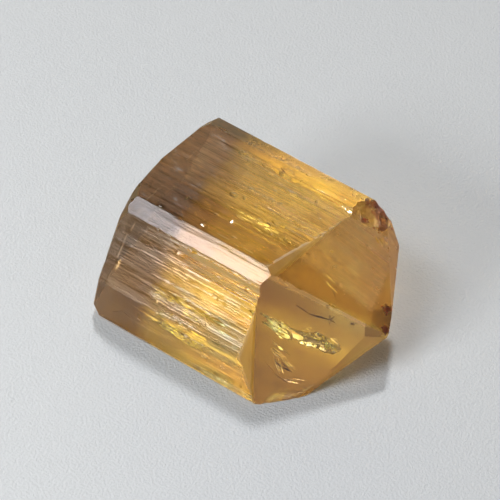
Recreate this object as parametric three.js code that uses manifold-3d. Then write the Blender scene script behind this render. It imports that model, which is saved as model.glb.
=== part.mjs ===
// A loose topaz crystal lying on one of its prism faces.
//
// Frame: millimetres, +Z up, +X along the crystal's long axis c towards the pointed end. The origin is
// under the middle of the crystal, on the surface it rests on.
//
// A crystal face is named by its outward normal and its distance from the origin:
//   azimuth  turn of the normal about c, 0 towards -Y and 90 straight up
//   slope    angle between the normal and c: 90 on the prism, under 90 on the pointed end,
//            near 180 on the cleaved base
import * as THREE from 'three';
import { mergeVertices } from 'three/addons/utils/BufferGeometryUtils.js';
import Module from 'manifold-3d';

const wasm = await Module();
wasm.setup();

// ---------------------------------------------------------------- driving dimensions

const PRISM_REACH = 9; // the rough prism runs this far each way along c before its ends are cut
const PRISM_STATIONS = 14; // rings of points along c

// Prism faces in order round c, from the top face towards -Y, under the crystal and back up.
const TOP = face(90, 90, 5.68);
const FRONT_BEVEL = face(57.8, 90, 5.85);
const FRONT = face(33.1, 90, 5.15);
const FRONT_LOW = face(16.4, 90, 5.24);
const FRONT_UNDER = face(-70.9, 90, 1.7);
const REST = face(-90, 90, 0);
const BACK_UNDER = face(-145.7, 90, 2.06);
const BACK = face(-162.4, 90, 3.57);
const TOP_BACK = face(108.6, 90, 6.8);
const PRISM_FACES = [TOP, FRONT_BEVEL, FRONT, FRONT_LOW, FRONT_UNDER, REST, BACK_UNDER, BACK, TOP_BACK];

// Faces of the pointed end: four large ones, then the narrow ones along their edges.
const POINT_FACES = [
  face(84.7, 52.75, 5.945),
  face(43, 47.4, 5.48),
  face(-96.5, 51.4, 3.046),
  face(-139.3, 50.1, 4.09),
  face(86, 71, 6.074),
  face(33.5, 68, 5.658),
  face(119.8, 36.8, 7.218),
  face(29, 34.2, 6.07),
];
const BROKEN_CORNER = face(98.1, 61.8, 6.685);

// The base: two cleavage planes that meet in a low crest, and its worn edges.
const CLEAVAGE = face(180, 179.1, 7.219);
const CLEAVAGE_TILTED = face(24.6, 170.9, 7.358);
const WORN_BASE_EDGES = [
  wornAway([CLEAVAGE_TILTED, TOP], 0.05),
  wornAway([CLEAVAGE_TILTED, FRONT_BEVEL], 0.16),
  wornAway([CLEAVAGE_TILTED, FRONT], 0.05),
  wornAway([CLEAVAGE_TILTED, FRONT_LOW], 0.06),
  wornAway([CLEAVAGE, TOP], 0.05),
  wornAway([CLEAVAGE, TOP_BACK], 0.07),
  wornAway([CLEAVAGE, BACK], 0.1),
  wornAway([CLEAVAGE_TILTED, TOP, FRONT_BEVEL], 0.2),
  wornAway([CLEAVAGE_TILTED, FRONT_BEVEL, FRONT], 0.16),
  wornAway([CLEAVAGE_TILTED, FRONT_LOW, FRONT_UNDER], 0.3),
  wornAway([CLEAVAGE, TOP, TOP_BACK], 0.12),
];

// Striations: long grooves parallel to c on every prism face but the one it rests on.
const GROOVE_PITCH = [0.13, 0.34];
const GROOVE_DEPTH = [0.015, 0.06];
const GROOVE_RUN = [3.5, 11];
const EDGE_WEAR = 0.02;

// Ledges on the base: thin cleavage slabs that came away, each bounded by a straight step.
const LEDGES = [
  { y: -3.1, z: 4.6, turn: 38, width: 4.4, height: 3.4, deep: 0.12 },
  { y: 4.3, z: 1.2, turn: -24, width: 3.6, height: 4.2, deep: 0.16 },
  { y: 0.2, z: 0.5, turn: 9, width: 2.6, height: 2.4, deep: 0.1 },
];
// Shell-shaped hollows: centre on the face, radius of the rim and depth.
const BASE_HOLLOWS = [
  { at: [-7.2, 2.1, 3.4], rim: 1.5, deep: 0.2 },
  { at: [-7.0, -2.2, 2.0], rim: 1.1, deep: 0.14 },
];
const CORNER_HOLLOWS = [
  { at: [3.35, 4.35, 5.2], rim: 0.62, deep: 0.13 },
  { at: [3.85, 5.0, 4.85], rim: 0.45, deep: 0.1 },
  { at: [2.9, 3.9, 5.52], rim: 0.42, deep: 0.09 },
];
const PITS = [
  { at: [-2.1, 1.2, 5.68], size: 0.1 },
  { at: [-0.4, 2.0, 5.68], size: 0.08 },
  { at: [0.9, 3.2, 5.68], size: 0.1 },
  { at: [1.3, 0.1, 5.68], size: 0.09 },
  { at: [-4.3, -0.6, 5.68], size: 0.1 },
  { at: [3.1, -2.9, 4.02], size: 0.1 },
];

// ---------------------------------------------------------------- faces

function face(azimuth, slope, distance) {
  const turn = THREE.MathUtils.degToRad(azimuth);
  const lean = THREE.MathUtils.degToRad(slope);
  const across = Math.sin(lean);
  const normal = new THREE.Vector3(Math.cos(lean), -Math.cos(turn) * across, Math.sin(turn) * across);
  return { normal, distance };
}

// A facet across the edge of two faces, or the corner of three, that wear away to this depth.
function wornAway(faces, wear) {
  const normal = faces.reduce((sum, { normal: one }) => sum.add(one), new THREE.Vector3());
  if (faces.length === 2) {
    const distance = (faces[0].distance + faces[1].distance) / normal.length() - wear;
    return { normal: normal.normalize(), distance };
  }
  const [a, b, c] = faces;
  const corner = new THREE.Vector3()
    .addScaledVector(new THREE.Vector3().crossVectors(b.normal, c.normal), a.distance)
    .addScaledVector(new THREE.Vector3().crossVectors(c.normal, a.normal), b.distance)
    .addScaledVector(new THREE.Vector3().crossVectors(a.normal, b.normal), c.distance)
    .divideScalar(new THREE.Vector3().crossVectors(b.normal, c.normal).dot(a.normal));
  normal.normalize();
  return { normal, distance: normal.dot(corner) - wear };
}

// Where two prism faces meet, as a point (y, z) of the section across c.
function sectionCorner(first, second) {
  const a = first.normal;
  const b = second.normal;
  const turn = a.y * b.z - a.z * b.y;
  const y = (first.distance * b.z - second.distance * a.z) / turn;
  const z = (second.distance * a.y - first.distance * b.y) / turn;
  return new THREE.Vector2(y, z);
}

// ---------------------------------------------------------------- solids

function toSolid(geometry) {
  const bare = geometry.index ? geometry.toNonIndexed() : geometry.clone();
  bare.deleteAttribute('normal');
  bare.deleteAttribute('uv');
  const merged = mergeVertices(bare, 1e-5);
  return new wasm.Manifold(new wasm.Mesh({
    numProp: 3,
    vertProperties: new Float32Array(merged.attributes.position.array),
    triVerts: new Uint32Array(merged.index.array),
  }));
}

function toGeometry(solid) {
  const mesh = solid.getMesh();
  const geometry = new THREE.BufferGeometry();
  geometry.setAttribute('position', new THREE.BufferAttribute(mesh.vertProperties, 3));
  geometry.setIndex(new THREE.BufferAttribute(mesh.triVerts, 1));
  return geometry;
}

// Everything on the outer side of a face, as one large block.
function beyond({ normal, distance }) {
  const size = 60;
  const block = new THREE.BoxGeometry(size, size, size);
  const pose = new THREE.Matrix4().makeRotationFromQuaternion(
    new THREE.Quaternion().setFromUnitVectors(new THREE.Vector3(0, 0, 1), normal),
  );
  pose.setPosition(normal.clone().multiplyScalar(distance + size / 2));
  return toSolid(block.applyMatrix4(pose));
}

// A shallow bowl cut by a ball: the ball's centre stands off the face so that its rim and depth fit.
function hollow({ at, rim, deep }, normal) {
  const radius = (rim * rim + deep * deep) / (2 * deep);
  const ball = new THREE.SphereGeometry(radius, 40, 24);
  const centre = new THREE.Vector3(...at).addScaledVector(normal, radius - deep);
  return toSolid(ball.translate(centre.x, centre.y, centre.z));
}

// A small angular pit.
function pit({ at, size }, turn) {
  const lump = new THREE.IcosahedronGeometry(size, 0);
  lump.scale(1.9, 1, 0.7);
  lump.rotateZ(turn);
  return toSolid(lump.translate(...at));
}

// A slab parallel to the base, thick enough outside and reaching a little way in.
function ledge({ y, z, turn, width, height, deep }) {
  const reach = 4;
  const slab = new THREE.BoxGeometry(reach, width, height);
  slab.rotateX(THREE.MathUtils.degToRad(turn));
  const innerSide = -CLEAVAGE.distance + deep;
  return toSolid(slab.translate(innerSide - reach / 2, y, z));
}

// ---------------------------------------------------------------- striated prism

// The same spread of values on every run.
function seeded(seed) {
  let state = seed;
  return (low, high) => {
    state = (state * 1664525 + 1013904223) % 4294967296;
    return low + (high - low) * (state / 4294967296);
  };
}

// The section's points, each with the way into the crystal there and its groove's depth and run.
function sectionPoints() {
  const random = seeded(20);
  const points = [];
  PRISM_FACES.forEach((side, index) => {
    const before = PRISM_FACES.at(index - 1);
    const after = PRISM_FACES[(index + 1) % PRISM_FACES.length];
    const start = sectionCorner(before, side);
    const end = sectionCorner(side, after);
    const length = start.distanceTo(end);
    const grooved = side !== REST;
    const touchesRest = side === REST || before === REST;
    const inward = new THREE.Vector2(-side.normal.y, -side.normal.z);
    points.push({ at: start, inward, depth: touchesRest ? 0 : EDGE_WEAR, run: 5, phase: index });
    if (!grooved) return;
    let along = random(...GROOVE_PITCH);
    let deep = true;
    while (along < length - GROOVE_PITCH[0]) {
      points.push({
        at: start.clone().lerp(end, along / length),
        inward,
        depth: deep ? random(...GROOVE_DEPTH) : GROOVE_DEPTH[0] * random(0, 0.5),
        run: random(...GROOVE_RUN),
        phase: random(0, 2 * Math.PI),
      });
      along += random(...GROOVE_PITCH);
      deep = !deep;
    }
  });
  return points;
}

// How deep a groove is at x: it fades in and out along c, and never quite ends.
function grooveDepth({ depth, run, phase }, x) {
  const wave = Math.sin((2 * Math.PI * x) / run + phase);
  return depth * (0.25 + 0.75 * THREE.MathUtils.smoothstep(wave, -0.4, 0.4));
}

function striatedPrism() {
  const points = sectionPoints();
  const outline = new THREE.Shape(points.map((point) => point.at));
  const geometry = new THREE.ExtrudeGeometry(outline, {
    depth: 2 * PRISM_REACH,
    steps: PRISM_STATIONS,
    bevelEnabled: false,
  });
  const position = geometry.attributes.position;
  const key = (y, z) => `${Math.fround(y)} ${Math.fround(z)}`;
  const pointAt = new Map(points.map((point) => [key(point.at.x, point.at.y), point]));
  for (let i = 0; i < position.count; i += 1) {
    const y = position.getX(i);
    const z = position.getY(i);
    const x = position.getZ(i) - PRISM_REACH;
    const point = pointAt.get(key(y, z));
    const deep = grooveDepth(point, x);
    position.setXYZ(i, x, y + point.inward.x * deep, z + point.inward.y * deep);
  }
  return toSolid(geometry);
}

// ---------------------------------------------------------------- the crystal

function crystalGeometry() {
  const cutters = [
    ...POINT_FACES.map(beyond),
    beyond(BROKEN_CORNER),
    beyond(CLEAVAGE),
    beyond(CLEAVAGE_TILTED),
    ...WORN_BASE_EDGES.map(beyond),
    ...LEDGES.map(ledge),
    ...BASE_HOLLOWS.map((bowl) => hollow(bowl, CLEAVAGE.normal)),
    ...CORNER_HOLLOWS.map((bowl) => hollow(bowl, BROKEN_CORNER.normal)),
    ...PITS.map(pit),
  ];
  let crystal = striatedPrism();
  cutters.forEach((cutter) => {
    crystal = crystal.subtract(cutter);
  });
  const geometry = toGeometry(crystal);
  geometry.computeBoundingBox();
  const middle = geometry.boundingBox.getCenter(new THREE.Vector3());
  return geometry.translate(-middle.x, -middle.y, -geometry.boundingBox.min.z);
}

const topaz = new THREE.MeshStandardMaterial({
  name: 'golden_topaz',
  color: 0xd39a3c,
  roughness: 0.12,
  metalness: 0,
});

const crystal = new THREE.Mesh(crystalGeometry(), topaz);
crystal.name = 'topaz_crystal';

const part = new THREE.Group();
part.add(crystal);

export default part;
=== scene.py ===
"""The looks of a loose golden topaz crystal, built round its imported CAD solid.

Sizes are in millimetres in the CAD frame until a mesh is made, and MM turns them into metres.
The frame has +X along the crystal's long axis c, towards its pointed end, and +Z up.
"""
from collections import namedtuple
from functools import partial
from math import acos, cos, pi, radians, sin, sqrt, tan

import bmesh
import bpy
import numpy as np
from mathutils import Matrix, Vector
from numpy.random import default_rng


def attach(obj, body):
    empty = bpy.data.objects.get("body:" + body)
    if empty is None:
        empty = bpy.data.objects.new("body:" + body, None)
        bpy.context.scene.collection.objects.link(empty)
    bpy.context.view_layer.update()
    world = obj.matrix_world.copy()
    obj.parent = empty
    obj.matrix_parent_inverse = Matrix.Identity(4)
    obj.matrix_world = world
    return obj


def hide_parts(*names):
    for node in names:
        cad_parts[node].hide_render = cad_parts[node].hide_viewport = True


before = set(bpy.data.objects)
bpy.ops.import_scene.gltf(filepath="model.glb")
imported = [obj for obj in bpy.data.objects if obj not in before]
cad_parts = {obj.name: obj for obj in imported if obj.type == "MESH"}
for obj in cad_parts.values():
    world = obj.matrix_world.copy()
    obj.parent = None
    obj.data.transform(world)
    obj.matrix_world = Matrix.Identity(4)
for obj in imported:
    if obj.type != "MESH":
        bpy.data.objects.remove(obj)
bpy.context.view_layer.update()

MM = 0.001
ALONG_C = (1, 0, 0)
NODE = "topaz_crystal"


# ---------- crystal faces

class Face:
    """A flat face: its outward normal, and its distance from the origin in mm.

    azimuth is the normal's turn about c, 0 towards -Y and 90 straight up. slope is its angle from c.
    """

    def __init__(self, azimuth, slope, distance):
        turn, lean = radians(azimuth), radians(slope)
        across = sin(lean)
        self.normal = np.array([cos(lean), -cos(turn) * across, sin(turn) * across])
        self.distance = distance


class WornFacet:
    """The facet across the edge of two faces, or the corner of three, that wear away to this depth."""

    def __init__(self, faces, wear):
        normals = np.array([face.normal for face in faces])
        distances = np.array([face.distance for face in faces])
        total = normals.sum(axis=0)
        corner = np.linalg.pinv(normals) @ distances
        self.normal = total / np.linalg.norm(total)
        self.distance = float(self.normal @ corner) - wear


TOP = Face(90, 90, 5.68)
FRONT_BEVEL = Face(57.8, 90, 5.85)
FRONT = Face(33.1, 90, 5.15)
FRONT_LOW = Face(16.4, 90, 5.24)
FRONT_UNDER = Face(-70.9, 90, 1.7)
REST = Face(-90, 90, 0)
BACK_UNDER = Face(-145.7, 90, 2.06)
BACK = Face(-162.4, 90, 3.57)
TOP_BACK = Face(108.6, 90, 6.8)

# Each prism face in order round c: how deep its striations are against the steepest ones, which way
# the steep sides of its grooves face (1 to the next face, -1 to the one before), how strong its
# finest lines are, how dull it is (its roughness), and the radius in mm of its first edge.
PrismSide = namedtuple("PrismSide", "face strength facing lined dull radius")
PRISM = [
    PrismSide(TOP, 0.42, 1, 1.0, 0.03, 0.10),
    PrismSide(FRONT_BEVEL, 0.11, 1, 0.25, 0.11, 0.10),
    PrismSide(FRONT, 0.28, -1, 1.0, 0.04, 0.05),
    PrismSide(FRONT_LOW, 0.36, -1, 1.0, 0.05, 0.12),
    PrismSide(FRONT_UNDER, 0.30, 1, 1.0, 0.36, 0.10),
    PrismSide(REST, 0.0, 1, 0.0, 0.15, 0.03),
    PrismSide(BACK_UNDER, 0.26, -1, 0.5, 0.44, 0.03),
    PrismSide(BACK, 0.24, 1, 0.5, 0.42, 0.10),
    PrismSide(TOP_BACK, 0.40, 1, 0.5, 0.25, 0.12),
]

POINT_TOP = Face(84.7, 52.75, 5.945)
POINT_FRONT = Face(43, 47.4, 5.48)
POINT_UNDER = Face(-96.5, 51.4, 3.046)
POINT_BACK = Face(-139.3, 50.1, 4.09)
BEVEL_TOP = Face(86, 71, 6.074)
BEVEL_FRONT = Face(33.5, 68, 5.658)
STRIP_BACK = Face(119.8, 36.8, 7.218)
STRIP_UNDER = Face(29, 34.2, 6.07)
BROKEN_CORNER = Face(98.1, 61.8, 6.685)
CLEAVAGE = Face(180, 179.1, 7.219)
CLEAVAGE_TILTED = Face(24.6, 170.9, 7.358)

# Edges and corners that are worn: the faces that meet there, and how deep the wear is in mm.
WORN_PLACES = [
    ([CLEAVAGE_TILTED, TOP], 0.05),
    ([CLEAVAGE_TILTED, FRONT_BEVEL], 0.16),
    ([CLEAVAGE_TILTED, FRONT], 0.05),
    ([CLEAVAGE_TILTED, FRONT_LOW], 0.06),
    ([CLEAVAGE, TOP], 0.05),
    ([CLEAVAGE, TOP_BACK], 0.07),
    ([CLEAVAGE, BACK], 0.1),
    ([CLEAVAGE_TILTED, TOP, FRONT_BEVEL], 0.2),
    ([CLEAVAGE_TILTED, FRONT_BEVEL, FRONT], 0.16),
    ([CLEAVAGE_TILTED, FRONT_LOW, FRONT_UNDER], 0.3),
    ([CLEAVAGE, TOP, TOP_BACK], 0.12),
    ([BEVEL_TOP, POINT_TOP], 0.012),
    ([BEVEL_TOP, TOP], 0.012),
    ([BEVEL_FRONT, POINT_FRONT], 0.012),
    ([BEVEL_FRONT, FRONT], 0.012),
    ([BEVEL_FRONT, FRONT_LOW], 0.02),
]

# The faces that cut the ends of the prism, in that order: how dull and how worn each of them is.
BEVEL_DULLNESS = 0.42
BEVEL_WEAR = 0.7
ENDS = [
    (POINT_TOP, 0.20, 0.0),
    (POINT_FRONT, 0.07, 0.0),
    (POINT_UNDER, 0.10, 0.0),
    (POINT_BACK, 0.10, 0.0),
    (BEVEL_TOP, BEVEL_DULLNESS, BEVEL_WEAR),
    (BEVEL_FRONT, BEVEL_DULLNESS, BEVEL_WEAR),
    (STRIP_BACK, 0.20, 0.0),
    (STRIP_UNDER, 0.20, 0.0),
    (BROKEN_CORNER, 0.30, 0.0),
    (CLEAVAGE, 0.40, 0.0),
    (CLEAVAGE_TILTED, 0.40, 0.0),
]
ENDS += [(WornFacet(*place), BEVEL_DULLNESS, BEVEL_WEAR) for place in WORN_PLACES]


# ---------- meshes and objects

# From the faces' own origin to the CAD frame, in mm.
CAD_SHIFT = (0.0273, -0.0016, 0.0)


def mesh_of(bm, name):
    """Turns a bmesh into a mesh and frees it."""
    mesh = bpy.data.meshes.new(name)
    bm.to_mesh(mesh)
    bm.free()
    return mesh


def placed_mesh(bm, name):
    """The same, moved to the CAD frame and in metres."""
    bmesh.ops.translate(bm, verts=bm.verts, vec=CAD_SHIFT)
    bmesh.ops.scale(bm, verts=bm.verts, vec=(MM, MM, MM))
    return mesh_of(bm, name)


def add_object(name, data):
    """Puts a mesh, a light or a camera into the scene."""
    made = bpy.data.objects.new(name, data)
    bpy.context.scene.collection.objects.link(made)
    return made


def add_piece(name, mesh, material):
    mesh.materials.append(material)
    return add_object(name, mesh)


def join_rings(bm, rings):
    """Makes a closed tube from rings of points, with a flat end across the first and the last one."""
    for ring, following in zip(rings, rings[1:]):
        for index in range(len(ring)):
            after = (index + 1) % len(ring)
            bm.faces.new((ring[index], ring[after], following[after], following[index]))
    bm.faces.new(rings[0][::-1])
    bm.faces.new(rings[-1])
    bmesh.ops.recalc_face_normals(bm, faces=bm.faces)


def lump(bm, radius, detail, random, roughness):
    """Adds a ball round the origin, its points moved in and out at random, and returns the points."""
    points = bmesh.ops.create_icosphere(bm, subdivisions=detail, radius=radius)["verts"]
    for point in points:
        point.co *= 1 + random.uniform(-roughness, roughness)
    return points


def stretch(points, way, factor):
    """Makes points that lie round the origin longer along a way, or flatter."""
    for point in points:
        point.co += way * way.dot(point.co) * (factor - 1)


def move(points, offset):
    for point in points:
        point.co += offset


def inside_faces(point, cover):
    """The point, moved in from each face in turn that is nearer to it than cover."""
    place = np.array(point, float)
    for face in [side.face for side in PRISM] + [end[0] for end in ENDS]:
        over = face.normal @ place - (face.distance - cover)
        if over > 0:
            place = place - face.normal * over
    return Vector(place)


# ---------- the striated prism

# How far the prism reaches both ways along c, and how far apart its stations and the points of its
# section lie, in mm. How many steps a worn edge has, and how strong its striations are next to those
# of the faces beside it.
PRISM_REACH = 8.0
STATION_STEP = 0.15
POINT_STEP = 0.026
ARC_POINTS = 5
EDGE_STRENGTH = 0.3
CUT_TOLERANCE = 1e-6


def meet(first, second):
    """Where two prism faces meet, as a point (y, z) of the section across c."""
    rows = np.array([first.normal[1:], second.normal[1:]])
    return np.linalg.solve(rows, [first.distance, second.distance])


class Section:
    """The points of the section across c: place and way out as (y, z), and length run so far.

    Each point also has the strength of the striations there and the way their steep sides face.
    starts holds the length run so far at the start of each side.
    """

    def __init__(self):
        self.points, self.starts = [], []
        self.total = 0.0
        for index in range(len(PRISM)):
            self.add_side(index)
        columns = [np.array(column) for column in zip(*self.points)]
        self.places, self.outs, self.runs, self.strengths, self.facings = columns

    def add_side(self, index):
        """Adds the points of one flat side and of the worn edge after it."""
        before, side, after = PRISM[index - 1], PRISM[index], PRISM[(index + 1) % len(PRISM)]
        out, next_out = side.face.normal[1:], after.face.normal[1:]
        start, end = meet(before.face, side.face), meet(side.face, after.face)
        along = (end - start) / np.linalg.norm(end - start)
        first_bend = acos(before.face.normal[1:] @ out)
        bend = acos(out @ next_out)
        start = start + along * side.radius * tan(0.5 * first_bend)
        end = end - along * after.radius * tan(0.5 * bend)
        length = np.linalg.norm(end - start)
        self.starts.append(self.total)
        steps = max(1, round(length / POINT_STEP)) if side.strength else 1
        for share in np.linspace(0, 1, steps + 1):
            place, run = start + (end - start) * share, self.total + length * share
            self.points.append((place, out, run, side.strength, side.facing))
        centre = end - out * after.radius
        strength = EDGE_STRENGTH * min(side.strength, after.strength)
        for step in range(1, ARC_POINTS):
            turn = bend * step / ARC_POINTS
            way = (out * sin(bend - turn) + next_out * sin(turn)) / sin(bend)
            run = self.total + length + after.radius * turn
            self.points.append((centre + way * after.radius, way, run, strength, side.facing))
        self.total += length + after.radius * bend


# Families of grooves: how often they overlap, width in mm, slope of the steep side, the steep side's
# share of the width, and length along c in mm.
GROOVES = [
    (0.7, (0.40, 1.10), (0.15, 0.50), (0.12, 0.35), (5.0, 18.0)),
    (1.3, (0.14, 0.38), (0.12, 0.45), (0.18, 0.50), (1.5, 12.0)),
    (1.9, (0.055, 0.12), (0.20, 0.70), (0.25, 0.50), (0.6, 7.0)),
]
GROOVE_SEED = 11

# Some grooves face the other way, and all stray a little from c. They fade out at their ends over a
# share of their length, or of LONGEST_FADE in mm if they are longer.
BACKWARD_SHARE = 0.2
GROOVE_STRAY = 0.003
FADE_SHARE = (0.3, 0.9)
LONGEST_FADE = 2.5

# Steps in the prism faces that run along c: number of the face in PRISM, mm from the edge before it,
# width and depth in mm, share of the width where it is deepest, and where along c it starts and ends.
STEPS = [
    (2, 0.42, 0.50, 0.070, 0.68, -3.2, 3.4),
    (2, 0.90, 0.36, 0.045, 0.70, -2.6, 2.6),
]
STEP_FADE = 0.8

# The striations are weakest at the base: where along c they fade, in mm, and how much is left there.
BASE_CALM = (-5.0, -1.8)
CALMEST = 0.38


def groove(line, width, peak):
    """How deep a groove is, from 0 to 1, where line is the mm from its middle."""
    across = line / width + 0.5
    return np.clip(np.minimum(across / peak, (1 - across) / (1 - peak)), 0, 1)


def run_out(stations, start, end, fade):
    """1 along a groove, fading smoothly to 0 at its ends."""
    ends = np.clip(np.minimum(stations - start, end - stations) / fade, 0, 1)
    return (ends ** 2 * (3 - 2 * ends))[:, None]


def add_grooves(deep, section, stations):
    """Deepens each point of each station by the random grooves that cross it."""
    random = default_rng(GROOVE_SEED)
    for overlap, widths, slopes, steep_shares, lengths in GROOVES:
        mean_area = sum(widths) * sum(lengths) / 4
        for _ in range(int(overlap * section.total * 2 * PRISM_REACH / mean_area)):
            middle = random.uniform(0, section.total)
            width = random.uniform(*widths)
            length = random.uniform(*lengths)
            start = random.uniform(-PRISM_REACH - length, PRISM_REACH)
            steep = random.uniform(*steep_shares)
            depth = random.uniform(*slopes) * steep * width
            facing = section.facings[np.searchsorted(section.runs, middle) % len(section.runs)]
            if random.uniform() < BACKWARD_SHARE:
                facing = -facing
            peak = steep if facing > 0 else 1 - steep
            stray = random.normal(0, GROOVE_STRAY)
            fade = random.uniform(*FADE_SHARE) * min(length, LONGEST_FADE)
            close = np.abs(section.runs - middle) < width
            line = section.runs[None, close] - middle - stray * stations[:, None]
            shape = groove(line, width, peak) * run_out(stations, start, start + length, fade)
            deep[:, close] += depth * shape * section.strengths[None, close]


def add_steps(deep, section, stations):
    for side, offset, width, depth, peak, start, end in STEPS:
        line = section.runs - section.starts[side] - offset
        deep += depth * groove(line, width, peak) * run_out(stations, start, end, STEP_FADE)


def relief(section, stations):
    """How far each point of each station lies in from its flat face, in mm."""
    deep = np.zeros((len(stations), len(section.runs)))
    add_grooves(deep, section, stations)
    add_steps(deep, section, stations)
    start, end = BASE_CALM
    lively = np.clip((stations - start) / (end - start), 0, 1)
    return deep * (CALMEST + (1 - CALMEST) * lively)[:, None]


def prism():
    """The striated prism as a closed bmesh, longer than the crystal at both ends."""
    section = Section()
    stations = np.arange(-PRISM_REACH, PRISM_REACH + STATION_STEP, STATION_STEP)
    bm = bmesh.new()
    rings = []
    for station, row in zip(stations, relief(section, stations)):
        places = section.places - section.outs * row[:, None]
        rings.append([bm.verts.new((station, y, z)) for y, z in places])
    join_rings(bm, rings)
    return bm


def cut(bm, face):
    """Takes away what lies beyond a face, and closes the cut with the face."""
    made = bmesh.ops.bisect_plane(
        bm,
        geom=bm.verts[:] + bm.edges[:] + bm.faces[:],
        dist=CUT_TOLERANCE,
        plane_co=Vector(face.normal * face.distance),
        plane_no=Vector(face.normal),
        clear_outer=True,
    )
    edges = [one for one in made["geom_cut"] if isinstance(one, bmesh.types.BMEdge)]
    rim = [edge for edge in edges if edge.is_boundary]
    if rim:
        bmesh.ops.holes_fill(bm, edges=rim, sides=0)


# ---------- breaks, hollows and chips

# Ledges on the base, where thin slabs came away: middle (y, z) in mm, turn in degrees, and width,
# height and depth in mm. A ledge's outline is uneven by these shares.
LEDGES = [
    (-3.1, 4.6, 38, 4.4, 3.4, 0.05),
    (4.3, 1.2, -24, 3.6, 4.2, 0.06),
    (0.2, 0.5, 9, 2.6, 2.4, 0.03),
]
LEDGE_REACH = 4.0
LEDGE_CORNERS = 17
LEDGE_RAGGEDNESS = (0.72, 1.12)

# Shell-shaped hollows in the broken corner: their centre, the radius of their rim, their depth, and
# how uneven they are as a share of their radius of curvature.
HOLLOWS = [
    ((3.35, 4.35, 5.20), 0.62, 0.10, 0.006),
    ((3.85, 5.00, 4.85), 0.45, 0.08, 0.008),
    ((2.90, 3.90, 5.52), 0.42, 0.07, 0.008),
    ((3.15, 5.10, 5.20), 0.34, 0.06, 0.010),
]
HOLLOW_SEED = 5
HOLLOW_DETAIL = 5

# Small pits: centre and radius in mm. They are longer along the face than they are deep.
PITS = [
    ((-2.10, 1.20, 5.68), 0.10),
    ((-0.40, 2.00, 5.68), 0.08),
    ((0.90, 3.20, 5.68), 0.10),
    ((1.30, 0.10, 5.68), 0.09),
    ((-4.30, -0.60, 5.68), 0.10),
    ((3.10, -2.90, 4.02), 0.10),
    ((0.00, 0.45, 5.68), 0.08),
    ((-1.64, -4.80, 2.07), 0.06),
    ((-1.23, -4.84, 2.00), 0.07),
    ((-0.75, -4.80, 2.06), 0.06),
    ((-0.35, -4.67, 2.27), 0.05),
    ((-2.92, -4.48, 2.56), 0.05),
    ((3.80, 0.86, 4.68), 0.07),
]
PIT_LENGTH = 1.9
PIT_HEIGHT = 0.7
PIT_ROUGHNESS = 0.1
PIT_DETAIL = 1

# Small chips along the worn edges: how many, the radius and depth of their cut in mm, how much longer
# they are along the edge, and the widest gap left between them. Edges that bend less than
# LEAST_WORN_BEND degrees have none.
CHIPS = 120
CHIP_TRIES = 6 * CHIPS
CHIP_RADIUS = (0.10, 0.50)
CHIP_DEPTH = (0.008, 0.035)
CHIP_LENGTH = (1.2, 2.6)
CHIP_GAP = 0.30
CHIP_ROUGHNESS = 0.02
CHIP_DETAIL = 3
LEAST_WORN_BEND = 18
CRYSTAL_SEED = 31


def ledge_cutter(y, z, turn, width, height, deep):
    """A slab with a ragged outline, whose inner side lies this deep in the base."""
    bm = bmesh.new()
    random = default_rng(round(100 * deep))
    middle = -CLEAVAGE.distance + deep - LEDGE_REACH / 2
    pose = Matrix.Translation((middle, y, z)) @ Matrix.Rotation(radians(turn), 4, "X")
    outer, inner = [], []
    for corner in range(LEDGE_CORNERS):
        around = 2 * pi * corner / LEDGE_CORNERS
        reach = 0.5 * random.uniform(*LEDGE_RAGGEDNESS)
        place = (width * reach * cos(around), height * reach * sin(around))
        outer.append(bm.verts.new(pose @ Vector((-0.5 * LEDGE_REACH, *place))))
        inner.append(bm.verts.new(pose @ Vector((0.5 * LEDGE_REACH, *place))))
    join_rings(bm, [outer, inner])
    return add_object("ledge", mesh_of(bm, "ledge"))


def hollow_cutter(at, rim, deep, uneven):
    """A ball that stands off the broken corner so that it cuts a bowl of this rim and depth."""
    bm = bmesh.new()
    radius = (rim ** 2 + deep ** 2) / (2 * deep)
    centre = np.array(at) + BROKEN_CORNER.normal * (radius - deep)
    random = default_rng(HOLLOW_SEED)
    move(lump(bm, radius, HOLLOW_DETAIL, random, uneven), Vector(centre))
    return add_object("hollow", mesh_of(bm, "hollow"))


def pit_cutter(random):
    bm = bmesh.new()
    for at, size in PITS:
        points = lump(bm, size, PIT_DETAIL, random, PIT_ROUGHNESS)
        turn = Matrix.Rotation(random.uniform(0, pi), 4, "Z")
        for point in points:
            x, y, z = point.co
            point.co = turn @ Vector((x * PIT_LENGTH, y, z * PIT_HEIGHT)) + Vector(at)
    return add_object("pits", mesh_of(bm, "pits"))


def chip_cutter(crystal, random):
    """Lumps that nick the crystal's edges at random places that keep clear of one another."""
    edges = [edge for edge in crystal.edges if len(edge.link_faces) == 2]
    bends = np.array([edge.calc_face_angle(0) for edge in edges])
    lengths = np.array([edge.calc_length() for edge in edges])
    weights = lengths * (bends > radians(LEAST_WORN_BEND))
    chosen = random.choice(len(edges), CHIP_TRIES, p=weights / weights.sum())
    bm = bmesh.new()
    taken = []
    for index in chosen:
        edge = edges[index]
        first, last = edge.verts
        place = first.co.lerp(last.co, random.uniform())
        radius = random.uniform(*CHIP_RADIUS)
        depth = random.uniform(*CHIP_DEPTH)
        reach = CHIP_LENGTH[1] * sqrt(2 * radius * depth)
        if len(taken) >= CHIPS or any((place - other).length < gap + reach for other, gap in taken):
            continue
        out = (edge.link_faces[0].normal + edge.link_faces[1].normal).normalized()
        points = lump(bm, radius, CHIP_DETAIL, random, CHIP_ROUGHNESS)
        stretch(points, (last.co - first.co).normalized(), random.uniform(*CHIP_LENGTH))
        move(points, place + out * (radius - depth))
        taken.append((place, reach + CHIP_GAP * random.uniform(0, 1)))
    return add_object("chips", mesh_of(bm, "chips"))


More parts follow.
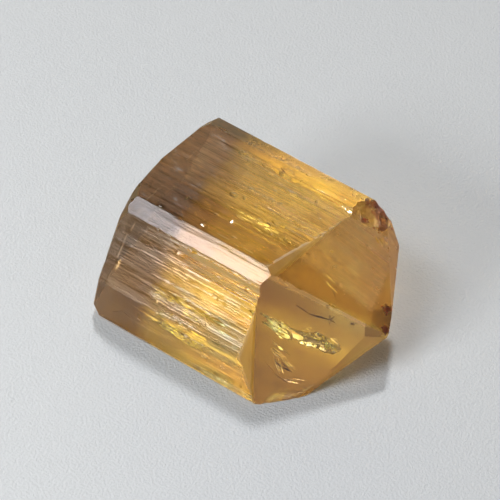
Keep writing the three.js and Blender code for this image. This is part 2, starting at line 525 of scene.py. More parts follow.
def carved(bm, cutters):
    """The mesh with every cutter taken away from it, one after the other."""
    body = add_object("body", mesh_of(bm, "body"))
    for cutter in cutters:
        taking = body.modifiers.new(cutter.name, "BOOLEAN")
        taking.operation = "DIFFERENCE"
        taking.solver = "MANIFOLD"
        taking.object = cutter
    found = body.evaluated_get(bpy.context.evaluated_depsgraph_get())
    result = bmesh.new()
    result.from_mesh(found.to_mesh())
    for used in [body] + cutters:
        mesh = used.data
        bpy.data.objects.remove(used)
        bpy.data.meshes.remove(mesh)
    return result


# ---------- veils and films inside the crystal

# Healed cracks: thin flat voids. Each group has the middle of its area, how far its sheets scatter
# from there along and across, the way their sides face, the way they run, how many there are, and
# their length and width in mm.
VEILS = [
    # Under the front faces.
    ((-0.70, -3.30, 2.05), (1.7, 0.50), (0.12, -0.99, -0.03), ALONG_C, 12, (0.4, 1.6), (0.05, 0.16)),
    ((-2.40, -4.05, 1.35), (0.8, 0.30), (0.12, -0.99, -0.06), ALONG_C, 8, (0.3, 1.0), (0.05, 0.14)),
    ((0.50, -3.95, 1.20), (1.2, 0.30), (0.12, -0.99, -0.06), ALONG_C, 7, (0.3, 1.1), (0.04, 0.12)),
    # Under the top face.
    ((-1.30, 0.50, 4.60), (1.1, 0.35), (0.04, -0.98, 0.20), ALONG_C, 7, (0.4, 1.2), (0.08, 0.18)),
    ((1.20, 0.50, 4.60), (1.3, 0.45), (0.04, -0.98, 0.22), ALONG_C, 7, (0.3, 0.9), (0.06, 0.14)),
    # Low under the point's front face.
    ((3.65, -3.15, 1.50), (0.7, 0.55), (0.33, 0.44, 0.84), (0.85, 0.1, -0.4),
     14, (0.3, 1.0), (0.06, 0.22)),
]
VEIL_SEED = 23

# Cracks whose sides carry a bright golden film, in the same form.
FILMS = [
    # The ribbon under the point's front face: long films, then the smaller ones that break it up.
    ((3.05, -2.15, 2.25), (0.60, 0.30), (0.28, -0.96, -0.03), (0.82, 0.30, -0.45),
     9, (0.9, 2.4), (0.14, 0.50)),
    ((3.95, -1.50, 1.75), (0.60, 0.32), (0.46, -0.88, 0.09), (0.82, 0.48, -0.31),
     10, (0.9, 2.2), (0.16, 0.60)),
    ((4.67, -1.07, 1.52), (0.50, 0.22), (0.42, -0.91, 0.02), (0.82, 0.42, -0.38),
     12, (0.6, 1.4), (0.2, 0.6)),
    ((5.05, -1.00, 1.65), (0.25, 0.12), (0.29, 0.42, 0.86), (0.82, 0.10, -0.33),
     8, (0.4, 0.9), (0.3, 0.6)),
    ((3.35, -2.00, 2.20), (0.90, 0.50), (0.26, -0.97, -0.03), (0.82, 0.30, -0.45),
     26, (0.10, 0.40), (0.05, 0.14)),
    ((4.45, -1.25, 1.70), (0.80, 0.40), (0.45, -0.89, 0.02), (0.82, 0.42, -0.38),
     20, (0.10, 0.40), (0.06, 0.20)),
    ((4.45, -1.25, 1.80), (0.80, 0.40), (0.30, 0.43, 0.85), (0.82, 0.10, -0.35),
     20, (0.10, 0.40), (0.10, 0.30)),
    # The narrow cracks low under the same face.
    ((3.60, -3.45, 0.95), (0.40, 0.15), (0.30, -0.94, 0.13), (0.35, 0.15, -0.92),
     5, (0.4, 1.0), (0.03, 0.08)),
    ((4.40, -3.20, 0.40), (0.40, 0.10), (0.46, -0.88, 0.09), (0.85, 0.50, -0.12),
     5, (0.4, 0.9), (0.03, 0.08)),
    # Glints under the point's top face.
    ((3.85, 0.36, 3.80), (0.20, 0.03), (0.26, -0.96, 0.06), (0.63, -0.25, -0.51),
     4, (0.5, 0.9), (0.06, 0.14)),
    ((4.18, 4.01, 4.25), (0.10, 0.05), (0.93, -0.04, 0.37), (0.55, 0.0, -0.60),
     5, (0.3, 0.7), (0.04, 0.12)),
    # The glow under the front faces.
    ((-2.20, -4.00, 2.15), (1.50, 0.55), (-0.59, -0.40, 0.71), ALONG_C, 14, (0.2, 0.8), (0.05, 0.16)),
    ((-2.30, -3.85, 2.25), (1.50, 0.40), (0.11, 0.36, 0.93), ALONG_C, 24, (0.4, 1.4), (0.10, 0.3)),
    ((-1.90, -4.40, 1.05), (1.80, 0.40), (0.08, 0.26, 0.96), ALONG_C, 36, (0.5, 1.8), (0.12, 0.4)),
]
FILM_SEED = 29

# A sheet's thickness, how far it may lie in front of its group's middle or behind it, and how much it
# tilts. Its rim and its waves swing by the first number, in shares of its size and in mm, and the
# second number says how often.
SHEET_THICKNESS = 0.004
SHEET_DEPTH = 0.25
SHEET_TILT = 0.03
RIM_LOBES = (0.15, 3)
RIM_TEETH = (0.10, 7)
LONG_WAVE = (0.008, 4)
CROSS_WAVE = (0.002, 18)
SHEET_RINGS = 5
SHEET_SPOKES = 26


def swing(wave, place, phase):
    """A wave's height at a place."""
    size, rate = wave
    return size * sin(rate * place + phase)


def add_sheet(bm, centre, normal, along, length, width, random):
    """A thin closed lens with a ragged rim and gentle waves. Returns its faces, which look outwards."""
    normal = Vector(normal).normalized()
    along = (Vector(along) - normal * normal.dot(Vector(along))).normalized()
    across = normal.cross(along)
    phases = random.uniform(0, 2 * pi, 4)

    def point(ring, spoke, lift):
        share = ring / SHEET_RINGS
        turn = 2 * pi * spoke / SHEET_SPOKES
        ragged = 1 + swing(RIM_LOBES, turn, phases[0]) + swing(RIM_TEETH, turn, phases[1])
        u = 0.5 * length * share * ragged * cos(turn)
        v = 0.5 * width * share * ragged * sin(turn)
        wave = swing(LONG_WAVE, u, phases[2]) + swing(CROSS_WAVE, v, phases[3])
        rise = wave + lift * SHEET_THICKNESS / 2 * (1 - share ** 2)
        return bm.verts.new(Vector(centre) + along * u + across * v + normal * rise)

    rim = [point(SHEET_RINGS, spoke, 0) for spoke in range(SHEET_SPOKES)]
    made = []
    for lift in (1, -1):
        middle = point(0, 0, lift)
        rings = []
        for ring in range(1, SHEET_RINGS):
            rings.append([point(ring, spoke, lift) for spoke in range(SHEET_SPOKES)])
        rings.append(rim)
        for spoke in range(SHEET_SPOKES):
            after = (spoke + 1) % SHEET_SPOKES
            made.append(bm.faces.new((middle, rings[0][spoke], rings[0][after])))
            for inner, outer in zip(rings, rings[1:]):
                made.append(bm.faces.new((inner[spoke], outer[spoke], outer[after], inner[after])))
    bmesh.ops.recalc_face_normals(bm, faces=made)
    return made


def add_sheets(bm, groups, seed):
    """Adds every sheet of these groups, and returns all their faces."""
    random = default_rng(seed)
    faces = []
    for middle, (reach, spread), normal, along, count, lengths, widths in groups:
        way = Vector(along).normalized()
        across = Vector(normal).cross(way).normalized()
        for _ in range(count):
            place = Vector(middle) + way * random.uniform(-reach, reach)
            place += across * random.uniform(-spread, spread)
            place += Vector(normal) * random.uniform(-SHEET_DEPTH, SHEET_DEPTH)
            tilted = Vector(normal) + Vector(random.normal(0, SHEET_TILT, 3))
            length, width = random.uniform(*lengths), random.uniform(*widths)
            faces += add_sheet(bm, place, tilted, along, length, width, random)
    return faces


def film_mesh():
    bm = bmesh.new()
    add_sheets(bm, FILMS, FILM_SEED)
    mesh = placed_mesh(bm, "golden_films")
    mesh.shade_smooth()
    return mesh


# ---------- the whole crystal

# The marks of a polygon that its face doesn't give: where the surface is broken, and on the veils.
WORN_DULLNESS = 0.35
VEIL_DULLNESS = 0.06
MARKS = [
    ("lined", 0.0, 0.0),
    ("dull", WORN_DULLNESS, VEIL_DULLNESS),
    ("worn", 1.0, 0.0),
]

# A polygon is part of the face that it is turned least from, by the cosine of its turn. Each mm that
# it lies deeper under a face than SKIN takes DEPTH_WEIGHT off that. It is broken where the cosine is
# under LEAST_COSINE, or where it lies deeper under its face than DEEPEST, in mm.
SKIN = 0.1
DEPTH_WEIGHT = 2.0
LEAST_COSINE = 0.93
DEEPEST = 0.25

# Edges that bend by more than this many degrees stay sharp, and edges shorter than this in mm go.
SHARP_BEND = 2.5
SMALLEST_EDGE = 1e-5


def polygon_vectors(mesh, what):
    values = np.zeros(len(mesh.polygons) * 3)
    mesh.polygons.foreach_get(what, values)
    return values.reshape(-1, 3)


def mark_faces(mesh, outside):
    """Gives each polygon the fine lines, the dullness and the wear of the face that it is part of.

    The first polygons, as many as outside says, are the crystal's outside. The rest are veils.
    """
    sides = [(side.face, side.lined, side.dull, 0.0) for side in PRISM]
    sides += [(face, 0.0, dull, worn) for face, dull, worn in ENDS]
    faces, *columns = zip(*sides)
    middles = polygon_vectors(mesh, "center") / MM - np.array(CAD_SHIFT)
    normals = np.array([face.normal for face in faces])
    distances = np.array([face.distance for face in faces])
    cosines = polygon_vectors(mesh, "normal") @ normals.T
    depths = distances - middles @ normals.T
    nearest = np.argmax(cosines - DEPTH_WEIGHT * np.clip(depths - SKIN, 0, None), axis=1)
    rows = np.arange(len(mesh.polygons))
    broken = (cosines[rows, nearest] < LEAST_COSINE) | (depths[rows, nearest] > DEEPEST)
    for column, (name, on_break, on_veil) in zip(columns, MARKS):
        values = np.array(column)[nearest]
        values[broken] = on_break
        values[outside:] = on_veil
        mesh.attributes.new(name, "FLOAT", "FACE").data.foreach_set("value", values)


def crystal_mesh():
    """The crystal: the prism cut by the end faces, then carved, with the veils inside it."""
    random = default_rng(CRYSTAL_SEED)
    bm = prism()
    for face, _, _ in ENDS:
        cut(bm, face)
    bmesh.ops.dissolve_degenerate(bm, dist=SMALLEST_EDGE, edges=bm.edges)
    bmesh.ops.recalc_face_normals(bm, faces=bm.faces)
    cutters = [ledge_cutter(*ledge) for ledge in LEDGES]
    cutters += [hollow_cutter(*hollow) for hollow in HOLLOWS]
    cutters += [pit_cutter(random), chip_cutter(bm, random)]
    bm = carved(bm, cutters)
    outside = len(bm.faces)
    voids = add_sheets(bm, VEILS, VEIL_SEED)
    bmesh.ops.reverse_faces(bm, faces=voids)
    mesh = placed_mesh(bm, "crystal_surface")
    mark_faces(mesh, outside)
    mesh.shade_smooth()
    mesh.set_sharp_from_angle(angle=radians(SHARP_BEND))
    return mesh


# ---------- needles inside the crystal

# Dark needles just under the faces, and three dark lines of painted shade along a crack: where each
# starts and ends, and its thickness, in mm. The middle of the star-shaped end is STAR.
STAR = (4.98, -0.97, 3.16)
NEEDLES_AND_SHADE_LINES = [
    ((3.58, -1.90, 4.05), (4.20, -1.60, 3.56), 0.055),
    ((4.18, -1.62, 3.58), STAR, 0.100),
    (STAR, (5.08, -0.72, 3.28), 0.061),
    (STAR, (4.86, -0.83, 3.34), 0.054),
    (STAR, (5.24, -0.84, 2.98), 0.068),
    (STAR, (5.10, -1.12, 2.98), 0.047),
    ((5.74, -0.30, 2.86), (5.93, -0.16, 2.77), 0.115),
    ((-2.99, 3.75, 5.68), (-2.60, 3.55, 5.68), 0.041),
    ((-2.06, 4.11, 5.68), (-1.62, 3.90, 5.68), 0.054),
    ((-1.38, 4.60, 5.60), (-1.60, 4.95, 5.50), 0.047),
    ((-0.12, 0.51, 5.68), (0.22, 0.40, 5.68), 0.095),
    ((-3.06, -4.95, 1.73), (-1.75, -4.99, 1.59), 0.030),
    ((-1.75, -4.99, 1.59), (-0.58, -5.02, 1.50), 0.046),
    ((-0.58, -5.02, 1.50), (1.02, -4.97, 1.69), 0.035),
    ((-5.42, -5.26, 0.67), (-4.84, -5.16, 1.02), 0.022),
    ((-4.84, -5.16, 1.02), (-4.29, -5.20, 0.89), 0.022),
    ((-4.29, -5.20, 0.89), (-3.83, -5.30, 0.55), 0.022),
    ((4.20, 0.10, 4.30), (4.95, -0.26, 3.72), 0.030),
    ((3.48, -4.12, 1.80), (3.94, -4.05, 1.20), 0.035),
    ((3.94, -4.05, 1.20), (4.57, -3.76, 0.73), 0.045),
    # The last three are painted shade: dark lines along a crack low under the point's front face.
    ((3.79, -3.80, 1.73), (4.15, -3.65, 1.45), 0.070),
    ((4.15, -3.65, 1.45), (4.53, -3.39, 1.18), 0.100),
    ((4.00, -3.55, 1.65), (4.40, -3.45, 1.30), 0.060),
]
NEEDLE_COVER = 0.07
NEEDLE_SIDES = 6
NEEDLE_SEED = 17

# A needle is two cones end to end. Each has its thickness at its start and end as a share of the
# needle's, and fills nearly all of its half.
NEEDLE_HALVES = [(0.45, 1.0), (1.0, 0.25)]
HALF_FILLED = (0.97, 1.0)


def needle_and_shade_mesh():
    bm = bmesh.new()
    random = default_rng(NEEDLE_SEED)
    for start, end, thickness in NEEDLES_AND_SHADE_LINES:
        first, last = inside_faces(start, NEEDLE_COVER), inside_faces(end, NEEDLE_COVER)
        way = last - first
        turn = way.to_track_quat("Z", "Y").to_matrix().to_4x4()
        for half, (start_share, end_share) in enumerate(NEEDLE_HALVES):
            middle = first + way * (half + 0.5) / 2
            bmesh.ops.create_cone(
                bm,
                cap_ends=True,
                segments=NEEDLE_SIDES,
                radius1=thickness / 2 * start_share,
                radius2=thickness / 2 * end_share,
                depth=way.length * 0.5 * random.uniform(*HALF_FILLED),
                matrix=Matrix.Translation(middle) @ turn,
            )
    return placed_mesh(bm, "dark_needles_and_shade_lines")


# ---------- rust grains

# Iron stains on the broken corner and at the point: centre and radius in mm.
RUST_STAINS = [
    ((2.77, 4.96, 5.46), 0.30),
    ((3.10, 5.35, 5.22), 0.32),
    ((3.59, 5.13, 4.99), 0.48),
    ((3.95, 4.60, 4.82), 0.30),
    ((3.40, 4.00, 5.30), 0.18),
    ((6.48, 1.78, 2.72), 0.20),
    ((7.00, 0.94, 2.24), 0.18),
]

# The grains in each stain: how many, their radius and cover in mm, how far they scatter as a share of
# the stain's radius, and how thick they are as a share of their width.
RUST_GRAINS = 26
GRAIN_RADIUS = (0.02, 0.075)
GRAIN_COVER = 0.10
GRAIN_SCATTER = 0.55
GRAIN_THICKNESS = 0.4
GRAIN_ROUGHNESS = 0.3
GRAIN_DETAIL = 1
GRAIN_SEED = 37


def rust_mesh():
    """Flat grains of iron oxide in the fine cracks just under the stained places."""
    bm = bmesh.new()
    random = default_rng(GRAIN_SEED)
    for centre, radius in RUST_STAINS:
        for _ in range(RUST_GRAINS):
            place = np.array(centre) + random.normal(0, GRAIN_SCATTER * radius, 3)
            # Twice, because moving in from one face may bring the grain too near to another one.
            place = inside_faces(inside_faces(place, GRAIN_COVER), GRAIN_COVER)
            points = lump(bm, random.uniform(*GRAIN_RADIUS), GRAIN_DETAIL, random, GRAIN_ROUGHNESS)
            stretch(points, Vector(BROKEN_CORNER.normal), GRAIN_THICKNESS)
            move(points, place)
    return placed_mesh(bm, "rust_grains")


# ---------- shader nodes

# A random pattern: how often it repeats in a metre along each axis, how many finer layers it has, and
# between which heights of the noise it goes from 0 to 1.
Pattern = namedtuple("Pattern", "scale detail low high")

# A border across a way: from 0 at one place to 1 at another, both in mm from the origin.
Border = namedtuple("Border", "way start end")

NOISE_MIDDLE = 0.5


def feed(tree, value, socket):
    """Links a socket to another one, or sets it to a fixed value."""
    if isinstance(value, bpy.types.NodeSocket):
        tree.links.new(value, socket)
    else:
        socket.default_value = value


def node(tree, kind, inputs, **settings):
    """Adds a node with these settings, and feeds its inputs."""
    made = tree.nodes.new(kind)
    for name, value in settings.items():
        setattr(made, name, value)
    for name, value in inputs.items():
        feed(tree, value, made.inputs[name])
    return made


def object_place(tree, scale=(1, 1, 1)):
    """Places on the object in its own axes, times a scale that stretches the patterns made from it."""
    place = node(tree, "ShaderNodeTexCoord", {}).outputs["Object"]
    return node(tree, "ShaderNodeMapping", {"Scale": scale, "Vector": place}).outputs["Vector"]


def noise(tree, scale, detail=3.0, roughness=0.55):
    place = object_place(tree, scale)
    inputs = {"Vector": place, "Scale": 1.0, "Detail": detail, "Roughness": roughness}
    return node(tree, "ShaderNodeTexNoise", inputs).outputs["Fac"]


def ramp(tree, value, low, high):
    """0 where value is low, 1 where it is high, and smooth between them."""
    inputs = {"Value": value, "From Min": low, "From Max": high}
    made = node(tree, "ShaderNodeMapRange", inputs, interpolation_type="SMOOTHSTEP")
    return made.outputs["Result"]


def maths(operation, tree, first, second):
    inputs = {0: first, 1: second}
    return node(tree, "ShaderNodeMath", inputs, operation=operation).outputs["Value"]


plus = partial(maths, "ADD")
minus = partial(maths, "SUBTRACT")
times = partial(maths, "MULTIPLY")
larger = partial(maths, "MAXIMUM")


def blend(tree, share, first, second):
    """A colour between two, which are fixed colours or sockets."""
    inputs = {"Factor": share, "A": first, "B": second}
    return node(tree, "ShaderNodeMix", inputs, data_type="RGBA").outputs["Result"]


def patches(tree, pattern):
    """The random pattern, from 0 to 1."""
    return ramp(tree, noise(tree, pattern.scale, pattern.detail), pattern.low, pattern.high)


def towards(tree, way):
    """How far a place lies along a way, in metres."""
    inputs = {0: object_place(tree), 1: way}
    return node(tree, "ShaderNodeVectorMath", inputs, operation="DOT_PRODUCT").outputs["Value"]


def span(tree, value, limits):
    """0 at the first limit and 1 at the second, which are in mm."""
    start, end = limits
    return ramp(tree, value, start * MM, end * MM)


def beyond(tree, border):
    """0 before a border and 1 beyond it."""
    return span(tree, towards(tree, border.way), (border.start, border.end))


def near(tree, centre, radius, ragged):
    """1 within a ragged patch and 0 outside it. Its centre and radius are in mm."""
    inputs = {0: object_place(tree), 1: [value * MM for value in centre]}
    gap = node(tree, "ShaderNodeVectorMath", inputs, operation="DISTANCE").outputs["Value"]
    uneven = times(tree, minus(tree, ragged, NOISE_MIDDLE), radius * STAIN_RAGGEDNESS * MM)
    outer, inner = STAIN_EDGE
    return span(tree, plus(tree, gap, uneven), (radius * outer, radius * inner))


def bump(tree, height, depth, strength):
    """A bump node for a height map whose full depth is in mm."""
    inputs = {"Height": height, "Distance": depth * MM, "Strength": strength}
    return node(tree, "ShaderNodeBump", inputs)


def mark(tree, name):
    """A mark that each polygon of the crystal carries."""
    return node(tree, "ShaderNodeAttribute", {}, attribute_name=name).outputs["Fac"]


def new_material(name):
    """A material, with its nodes and its shader."""
    material = bpy.data.materials.new(name)
    material.use_nodes = True
    return material, material.node_tree, material.node_tree.nodes["Principled BSDF"]


# ---------- topaz

TOPAZ_IOR = 1.62
BODY_COLOUR = (0.945, 0.80, 0.20, 1)
BODY_DENSITY = 200.0

# The smoky zone at the base. Its border crosses c at a slant, wanders by so many mm, and lies nearer
# to the base on the front faces.
BORDER_WAY = (1.0, 0.2, 0.0)
SMOKY_BORDER = (-4.35, -3.3)
BORDER_BLOTCHES = (500, 1100, 1100)
BORDER_DETAIL = 4.0
BORDER_WANDER = 1.6
FRONT_SKIN = Border((0, -1, 0), 4.0, 4.9)
FRONT_LEAD = 0.6
SMOKY = (0.44, 0.31, 0.23, 1)
SMOKY_PALE = (0.60, 0.46, 0.36, 1)
SMOKY_PATCHES = Pattern((900, 1500, 1500), 4.0, 0.48, 0.72)
SMOKY_TOP = (0.10, 0.06, 0.034, 1)
SMOKY_TOP_RED = (0.26, 0.115, 0.05, 1)
REDDISH_PATCHES = Pattern((1500, 2800, 2800), 4.0, 0.45, 0.65)
SMOKY_LINE = (0.36, 0.21, 0.11, 1)
GROWTH_LINES = Pattern((350, 4500, 4500), 3.0, 0.52, 0.66)
SMOKY_TOP_SHARE = 0.8

# The gold beyond it, in the top face, the front faces, the point and the bevel.
TOP_SKIN = Border((0, 0, 1), 4.6, 5.6)
GOLD_LOW = (1.0, 0.88, 0.60, 1)
GOLD_HIGH = (1.0, 0.82, 0.38, 1)
GOLD_RIGHT = (0.72, 0.51, 0.28, 1)
TOP_RIGHT = Border(ALONG_C, 0.4, 1.8)
FRONT_PART = Border((0, -1, 0), 3.0, 4.0)
FRONT_PART_END = Border(ALONG_C, 2.7, 2.2)
GOLD_FRONT = (1.0, 1.0, 0.64, 1)
# Painted shade: the right part of the front faces is darkened to this greyish tint.
GOLD_FRONT_PAINTED_SHADE = (0.50, 0.58, 0.50, 1)
FRONT_PAINTED_SHADE_BORDER = Border(ALONG_C, -0.3, 1.0)
BACK_PART = Border((-0.46, 0.887, 0.0), -3.1, -2.7)
POINT_PART = Border(ALONG_C, 2.0, 3.2)
GOLD_POINT = (0.90, 0.61, 0.46, 1)
GOLD_PINK = (1.0, 0.80, 0.66, 1)
PINK_BANDS = Pattern((120, 900, 900), 2.0, 0.50, 0.66)
# Painted reflection: the bevel strip is dimmed and tinted lilac like the window light that it mirrors.
LILAC_PAINTED_REFLECTION = (0.55, 0.45, 0.50, 1)
BEVEL_PAINTED_REFLECTION_SKIN = Border(FRONT_BEVEL.normal, 5.79, 5.84)

# The point's front face: a painted glow along the golden ribbon, where the tint turns nearly white, and
# brown above and below it. The limits are in mm above the ribbon's middle line, or away from it.
POINT_SKIN = Border(POINT_FRONT.normal, 5.36, 5.46)
UP_THE_POINT = (-0.039, 0.655, 0.755)
RIBBON_HEIGHT = 0.40
PAINTED_GLOW_REACH = (0.9, 0.3)
STREAK_PAINTED_GLOW = (1.0, 1.0, 0.85, 1)
UPPER_PART = (0.5, 1.3)
LOWER_PART = (-1.3, -2.4)
POINT_BROWN = (0.62, 0.45, 0.38, 1)
POINT_PALE = (1.0, 1.0, 1.0, 1)
PALE_END = Border(ALONG_C, 4.0, 5.4)

# Worn edges and rust stains. A stain's edge is soft between these shares of its radius, and ragged by
# a share of it.
WORN = (1.0, 0.86, 0.68, 1)
WORN_SHARE = 0.7
RUST = (0.50, 0.13, 0.05, 1)
RUST_SHARE = 0.85
STAIN_RAGS = (2600, 2600, 2600)
STAIN_DETAIL = 4.0
STAIN_RAGGEDNESS = 4.5
STAIN_EDGE = (1.15, 0.75)

SCUFFS = Pattern((1200, 1900, 1900), 5.0, 0.56, 0.74)
SCUFF_DULLNESS = 0.10
SMOKY_DULLNESS = 0.07
RUST_DULLNESS = 0.30

# The finest striations, and the grain that worn places have, with depths in mm.
FINE_LINES = (400, 16000, 16000)
FINE_LINE_DETAIL = 2.0
FINE_LINE_DEPTH = 0.005
FINE_GRAIN = (5200, 7000, 7000)
FINE_GRAIN_DEPTH = 0.010
GRAIN_EVERYWHERE = 0.05
GRAIN_ON_WORN = 0.8


def out_of_smoke(tree):
    """0 in the smoky zone at the base and 1 beyond its uneven border."""
    blotches = noise(tree, BORDER_BLOTCHES, BORDER_DETAIL)
    wander = times(tree, minus(tree, blotches, NOISE_MIDDLE), BORDER_WANDER * MM)
    lead = times(tree, beyond(tree, FRONT_SKIN), FRONT_LEAD * MM)
    place = plus(tree, plus(tree, towards(tree, BORDER_WAY), lead), wander)
    return span(tree, place, SMOKY_BORDER)


def smoky_tint(tree):
    """The brown of the smoky zone, darker under the top face, with red patches and growth lines."""
    low = blend(tree, patches(tree, SMOKY_PATCHES), SMOKY, SMOKY_PALE)
    high = blend(tree, patches(tree, REDDISH_PATCHES), SMOKY_TOP, SMOKY_TOP_RED)
    high = blend(tree, patches(tree, GROWTH_LINES), high, SMOKY_LINE)
    return blend(tree, times(tree, beyond(tree, TOP_SKIN), SMOKY_TOP_SHARE), low, high)


def gold_tint(tree):
    """The gold of each part of the crystal, with pinkish bands, and the lilac painted reflection of the
    bevel.
    """
    top = blend(tree, beyond(tree, TOP_RIGHT), GOLD_HIGH, GOLD_RIGHT)
    gold = blend(tree, beyond(tree, TOP_SKIN), GOLD_LOW, top)
    # Painted shade: the front faces turn darker towards their right part.
    front = blend(tree, beyond(tree, FRONT_PAINTED_SHADE_BORDER), GOLD_FRONT, GOLD_FRONT_PAINTED_SHADE)
    on_front = times(tree, beyond(tree, FRONT_PART), beyond(tree, FRONT_PART_END))
    gold = blend(tree, on_front, gold, front)
    on_point = times(tree, beyond(tree, BACK_PART), beyond(tree, POINT_PART))
    gold = blend(tree, on_point, gold, GOLD_POINT)
    gold = blend(tree, patches(tree, PINK_BANDS), gold, GOLD_PINK)
    # Painted reflection: the bevel strip takes a dim lilac tint.
    return blend(tree, beyond(tree, BEVEL_PAINTED_REFLECTION_SKIN), gold, LILAC_PAINTED_REFLECTION)


def with_ribbon(tree, tint):
    """The tint, changed on the point's front face: a painted glow along the ribbon, brown above and
    below.
    """
    on_point = beyond(tree, POINT_SKIN)
    height = minus(tree, towards(tree, UP_THE_POINT), RIBBON_HEIGHT * MM)
    brown_to_pale = blend(tree, beyond(tree, PALE_END), POINT_BROWN, POINT_PALE)
    tint = blend(tree, times(tree, on_point, span(tree, height, UPPER_PART)), tint, brown_to_pale)
    tint = blend(tree, times(tree, on_point, span(tree, height, LOWER_PART)), tint, POINT_BROWN)
    # Painted glow: the tint turns nearly white near the ribbon's middle line.
    glow = span(tree, maths("ABSOLUTE", tree, height, 0.0), PAINTED_GLOW_REACH)
    return blend(tree, times(tree, on_point, glow), tint, STREAK_PAINTED_GLOW)


def rust_stains(tree):
    """1 in the rust stains and 0 outside them."""
    ragged = noise(tree, STAIN_RAGS, STAIN_DETAIL)
    stains = 0.0
    for centre, radius in RUST_STAINS:
        stains = larger(tree, stains, near(tree, centre, radius, ragged))
    return stains


def topaz_roughness(tree, gold_share, stains):
    """Each face's own dullness, and what scuffs, the smoky zone and rust add to it."""
    scuffs = times(tree, patches(tree, SCUFFS), SCUFF_DULLNESS)
    smoky = minus(tree, SMOKY_DULLNESS, times(tree, gold_share, SMOKY_DULLNESS))
    dull = plus(tree, plus(tree, mark(tree, "dull"), scuffs), smoky)
    return plus(tree, dull, times(tree, stains, RUST_DULLNESS))


def topaz_relief(tree, worn):
    """The finest striations on the lined faces, under a fine grain that worn places show most."""
    lines = bump(tree, noise(tree, FINE_LINES, FINE_LINE_DETAIL), FINE_LINE_DEPTH, mark(tree, "lined"))
    strength = plus(tree, times(tree, worn, GRAIN_ON_WORN), GRAIN_EVERYWHERE)
    grain = bump(tree, noise(tree, FINE_GRAIN), FINE_GRAIN_DEPTH, strength)
    feed(tree, lines.outputs["Normal"], grain.inputs["Normal"])
    return grain.outputs["Normal"]


def topaz():
    """Clear topaz by transmission, index and absorption, with tints and painted light, stains and fine
    lines.
    """
    material, tree, shader = new_material("golden_topaz")
    shader.inputs["Transmission Weight"].default_value = 1.0
    shader.inputs["IOR"].default_value = TOPAZ_IOR
    gold_share, stains, worn = out_of_smoke(tree), rust_stains(tree), mark(tree, "worn")
    tint = blend(tree, gold_share, smoky_tint(tree), with_ribbon(tree, gold_tint(tree)))
    tint = blend(tree, times(tree, worn, WORN_SHARE), tint, WORN)
    tint = blend(tree, times(tree, stains, RUST_SHARE), tint, RUST)
    feed(tree, tint, shader.inputs["Base Color"])
    feed(tree, topaz_roughness(tree, gold_share, stains), shader.inputs["Roughness"])
    feed(tree, topaz_relief(tree, worn), shader.inputs["Normal"])

    body = node(tree, "ShaderNodeVolumeAbsorption", {"Color": BODY_COLOUR, "Density": BODY_DENSITY})
    feed(tree, body.outputs["Volume"], tree.nodes["Material Output"].inputs["Volume"])
    return material


# ---------- the other materials

FILM_YELLOW = (1.0, 0.98, 0.50, 1)
FILM_PALE = (1.0, 1.0, 0.80, 1)
FILM_PATCHES = Pattern((3000, 3000, 3000), 3.0, 0.38, 0.66)
FILM_DULLNESS = 0.10
FILM_DULLER = 0.08

NEEDLE_DARK = (0.035, 0.018, 0.008, 1)
NEEDLE_BROWN = (0.16, 0.07, 0.025, 1)
NEEDLE_PATCHES = Pattern((9000, 9000, 9000), 3.0, 0.35, 0.70)
NEEDLE_DULLNESS = 0.4

GRAIN_BROWN = (0.16, 0.045, 0.02, 1)
GRAIN_RED = (0.46, 0.085, 0.03, 1)
GRAIN_PATCHES = Pattern((7000, 7000, 7000), 3.0, 0.35, 0.68)
GRAIN_DULLNESS = 0.7

PAPER_WHITE = (0.78, 0.82, 0.85, 1)
PAPER_DULLNESS = 0.9
PAPER_GRAIN = (7000, 7000, 7000)
PAPER_GRAIN_ROUGHNESS = 0.6
PAPER_GRAIN_DEPTH = 0.055


def golden_film():
    """The bright film on the sides of the cracks, pale and a little duller in patches."""
    material, tree, shader = new_material("golden_film")
    shader.inputs["Metallic"].default_value = 1.0
    uneven = patches(tree, FILM_PATCHES)
    feed(tree, blend(tree, uneven, FILM_YELLOW, FILM_PALE), shader.inputs["Base Color"])
    dull = plus(tree, times(tree, uneven, FILM_DULLER), FILM_DULLNESS)
    feed(tree, dull, shader.inputs["Roughness"])
    return material


def dark_mineral_and_shade():
    """The dark brown mineral of the needles and of the painted shade lines, a little uneven in tone."""
    material, tree, shader = new_material("dark_mineral_and_shade")
    shader.inputs["Roughness"].default_value = NEEDLE_DULLNESS
    tint = blend(tree, patches(tree, NEEDLE_PATCHES), NEEDLE_DARK, NEEDLE_BROWN)
    feed(tree, tint, shader.inputs["Base Color"])
    return material


def rust():
    """Red-brown iron oxide."""
    material, tree, shader = new_material("rust")
    shader.inputs["Roughness"].default_value = GRAIN_DULLNESS
    tint = blend(tree, patches(tree, GRAIN_PATCHES), GRAIN_BROWN, GRAIN_RED)
    feed(tree, tint, shader.inputs["Base Color"])
    return material


def paper():
    """White paper with a fine grain."""
    material, tree, shader = new_material("paper")
    shader.inputs["Base Color"].default_value = PAPER_WHITE
    shader.inputs["Roughness"].default_value = PAPER_DULLNESS
    height = noise(tree, PAPER_GRAIN, roughness=PAPER_GRAIN_ROUGHNESS)
    grain = bump(tree, height, PAPER_GRAIN_DEPTH, 1.0)
    feed(tree, grain.outputs["Normal"], shader.inputs["Normal"])
    return material


# ---------- the crystal

crystal = add_piece("crystal_surface", crystal_mesh(), topaz())
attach(crystal, "root")
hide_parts(NODE)

# The needles, with the dark lines of painted shade along a crack.
needles_and_shade_lines = add_piece("dark_needles_and_shade_lines", needle_and_shade_mesh(), dark_mineral_and_shade())
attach(needles_and_shade_lines, "root")

films = add_piece("golden_films", film_mesh(), golden_film())
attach(films, "root")

grains = add_piece("rust_grains", rust_mesh(), rust())
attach(grains, "root")

# ---------- floor, light and camera

# The floor's size is in metres, and its gap under the crystal in mm.
FLOOR_SIZE = 4.0
FLOOR_GAP = 0.01

# A dim room: nearly all the light comes from the soft lights.
ROOM = (0.03, 0.03, 0.03, 1)

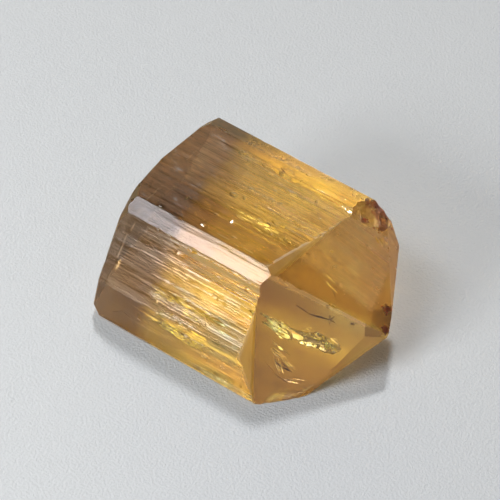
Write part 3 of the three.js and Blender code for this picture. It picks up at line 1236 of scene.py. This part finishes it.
# The photo's lights: a small lamp behind the crystal, a tall window on its left with a dark bar across
# it, and the pale and warm parts of the room that the faces mirror. Each has its azimuth, which is from
# +X towards +Y, its elevation, width and height in degrees as seen from the crystal, its distance in
# metres, its radiance and its colour.
SOFT_LIGHTS = [
    ("lamp", 121.8, 49.1, 4.8, 4.8, 0.6, 188.0, (0.98, 0.98, 0.99)),
    ("window_top", 220.0, 55.0, 9.0, 7.0, 0.14, 7.0, (0.95, 0.93, 1.00)),
    ("window_high", 236.0, 61.0, 34.0, 20.0, 0.14, 3.2, (0.93, 0.96, 1.00)),
    ("window_low", 252.0, 28.0, 25.5, 13.4, 0.14, 12.0, (0.98, 0.96, 0.93)),
    ("wall_left", 250.0, 7.0, 80.0, 12.0, 0.14, 2.4, (1.00, 0.93, 0.84)),
    ("wall_back", 146.0, 7.0, 46.0, 12.0, 0.6, 2.1, (1.00, 0.98, 0.60)),
    ("shelf_back", 135.0, 19.0, 66.0, 12.0, 0.6, 1.1, (1.00, 0.80, 0.42)),
    ("cupboard_back", 127.0, 43.0, 20.0, 16.0, 0.6, 1.4, (1.00, 0.58, 0.32)),
    ("wall_front", 331.0, 16.0, 26.0, 14.0, 0.6, 0.8, (1.00, 0.82, 0.85)),
    ("ceiling_right", 37.0, 43.0, 30.0, 20.0, 0.6, 0.3, (1.00, 0.88, 0.90)),
]

# The photo's camera, by its turn about +Z from -Y and its elevation, in degrees. Its distance and aim
# are in mm, like its lens and sensor. It sees from 1 cm to 10 m.
CAMERA_AZIMUTH = 38.4
CAMERA_ELEVATION = 43.57
CAMERA_DISTANCE = 191.57
CAMERA_LENS = 275.9
CAMERA_SENSOR = 36.0
CAMERA_AIM = (-1.323, 0.711, 2.896)
CAMERA_RANGE = (0.01, 10.0)


def studio_world():
    studio = bpy.data.worlds.new("studio")
    studio.use_nodes = True
    studio.node_tree.nodes["Background"].inputs["Color"].default_value = ROOM
    return studio


def soft_light(name, azimuth, elevation, width, height, distance, radiance, colour):
    """A flat soft light that faces the crystal."""
    turn, rise = radians(azimuth), radians(elevation)
    way = Vector((cos(turn) * cos(rise), sin(turn) * cos(rise), sin(rise)))
    side = Vector((-sin(turn), cos(turn), 0))
    data = bpy.data.lights.new(name, "AREA")
    data.shape = "RECTANGLE"
    data.size = 2 * distance * tan(radians(width) / 2)
    data.size_y = 2 * distance * tan(radians(height) / 2)
    data.energy = pi * data.size * data.size_y * radiance
    data.color = colour
    axes = Matrix((side, way.cross(side), way)).transposed()
    add_object(name, data).matrix_world = Matrix.Translation(way * distance) @ axes.to_4x4()


def photo_camera():
    """The camera that took the photo."""
    data = bpy.data.cameras.new("camera")
    data.lens = CAMERA_LENS
    data.sensor_width = CAMERA_SENSOR
    data.clip_start, data.clip_end = CAMERA_RANGE
    turn, rise = radians(CAMERA_AZIMUTH), radians(CAMERA_ELEVATION)
    back = Vector((sin(turn) * cos(rise), -cos(turn) * cos(rise), sin(rise)))
    camera = add_object("camera", data)
    camera.location = (Vector(CAMERA_AIM) + back * CAMERA_DISTANCE) * MM
    camera.rotation_mode = "QUATERNION"
    camera.rotation_quaternion = back.to_track_quat("Z", "Y")
    return camera


bpy.ops.mesh.primitive_plane_add(size=FLOOR_SIZE, location=(0, 0, -FLOOR_GAP * MM))
floor = bpy.context.object
floor.name = "paper_floor"
floor.data.materials.append(paper())

scene = bpy.context.scene
scene.world = studio_world()
for light in SOFT_LIGHTS:
    soft_light(*light)
scene.camera = photo_camera()

# Light crosses many faces inside the crystal.
scene.cycles.max_bounces = 24
scene.cycles.transmission_bounces = 24
scene.cycles.glossy_bounces = 12
scene.cycles.diffuse_bounces = 6
scene.cycles.use_denoising = True
scene.view_settings.view_transform = "Standard"
